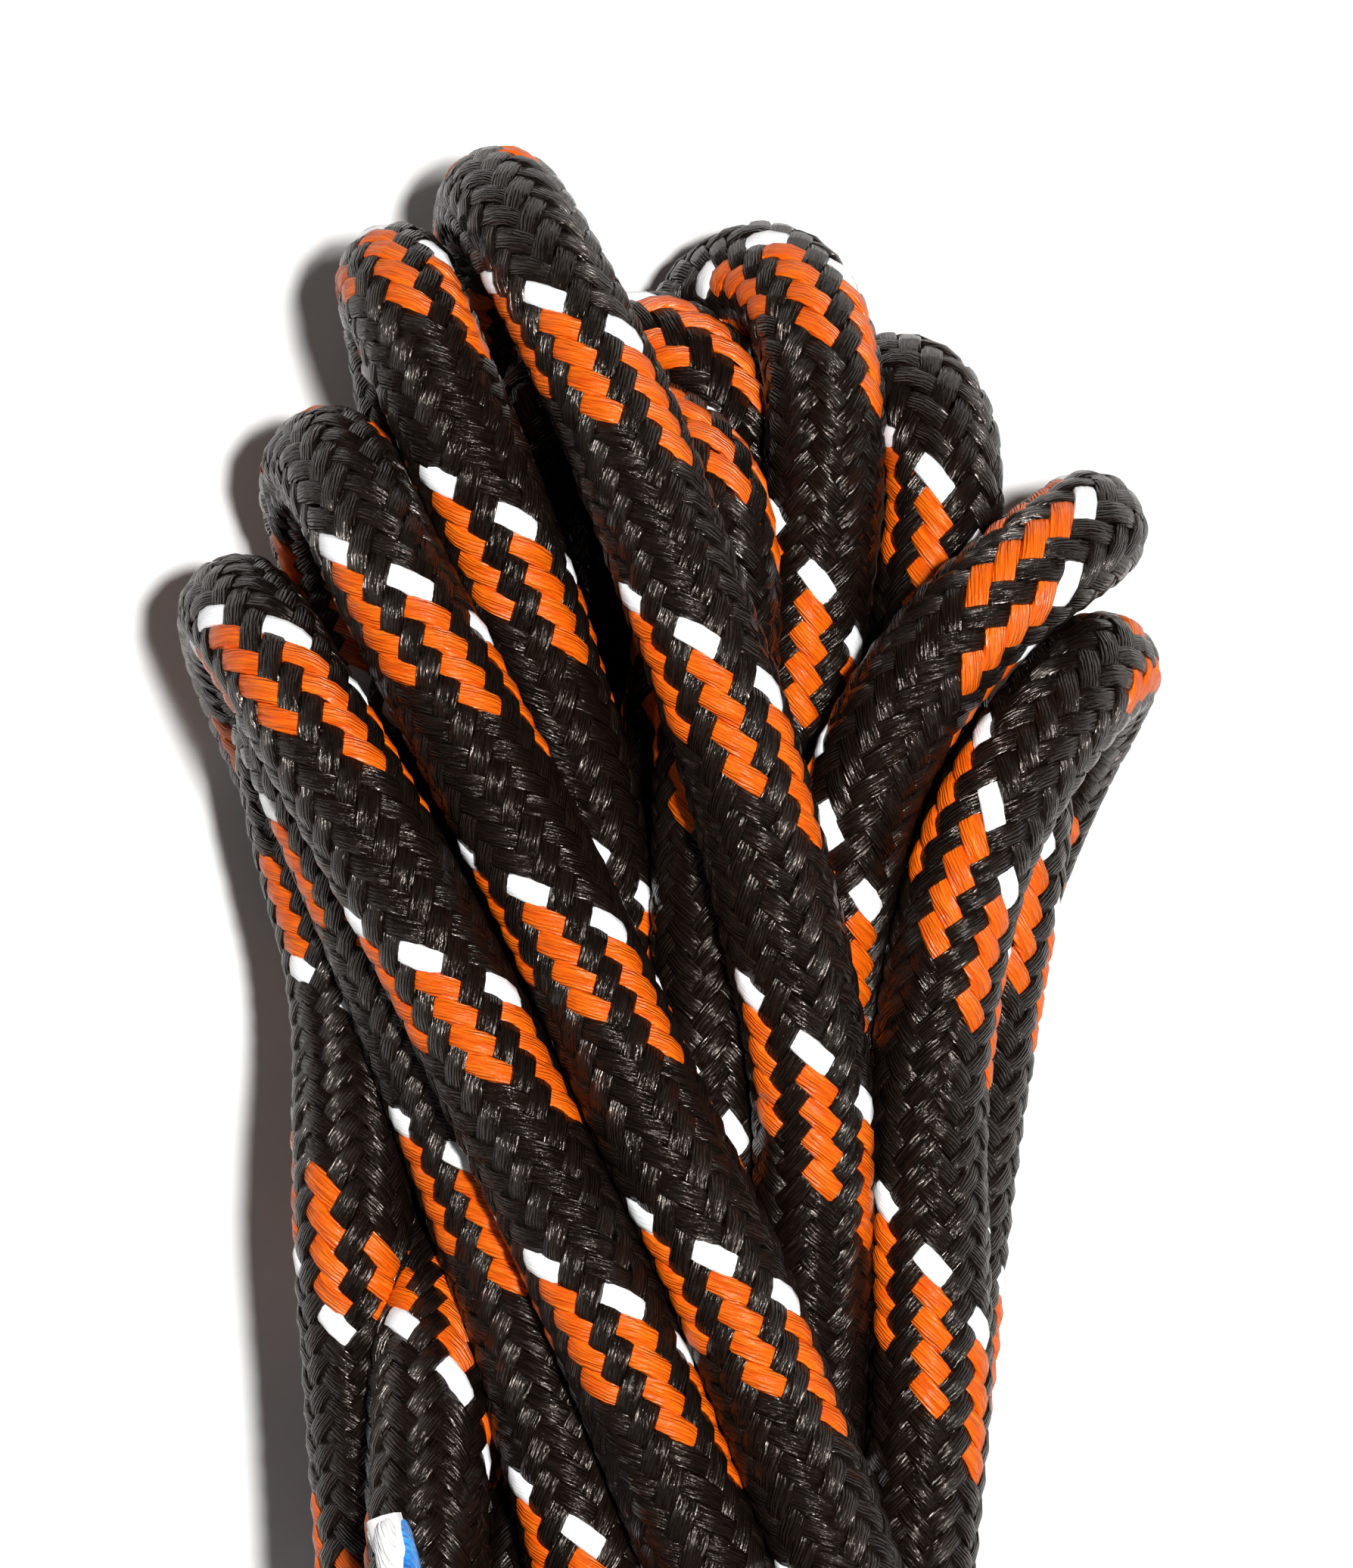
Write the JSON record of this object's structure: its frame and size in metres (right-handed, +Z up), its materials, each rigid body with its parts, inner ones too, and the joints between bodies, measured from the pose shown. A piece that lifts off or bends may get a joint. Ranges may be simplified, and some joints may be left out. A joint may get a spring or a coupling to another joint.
{
  "type": "dynamic climbing rope hank",
  "caption": "Tied hank of kernmantle dynamic climbing rope with a braided sheath, loose loops at both ends, sealed rope ends and a twisted cord tie.",
  "frame": {"origin": "centre of the bottom of the whole object's box, on the surface that it lies on", "axes": "+X to the hank's right, +Y along the hank from the rope's ends towards the head loops, +Z up"},
  "size_m": [0.093, 0.315, 0.0576],
  "materials": {
    "sheath_black": "glossy black nylon braid",
    "tracer_orange": "glossy orange nylon yarn in the braid",
    "tracer_reflective": "white retroreflective yarn in the braid",
    "end_sleeve": "shrunk plastic sleeve",
    "melted_sheath": "melted nylon",
    "core": "off-white nylon core, sealed by heat",
    "tie_white": "white plies of the twisted tie",
    "tie_blue": "blue ply of the twisted tie"
  },
  "bodies": {
    "root": {"rope_hank": "sheath_black", "rope_tail_a": "sheath_black", "rope_tail_b": "sheath_black", "end_sleeve_a": "end_sleeve", "end_sleeve_b": "end_sleeve", "sheath_end_a": "melted_sheath", "sheath_end_b": "melted_sheath", "core_end_a": "core", "core_end_b": "core", "tie_wraps": "tie_white", "tie_knot": "tie_white", "tie_tail_a": "tie_white", "tie_tail_b": "tie_white"}
  },
  "joints": []
}
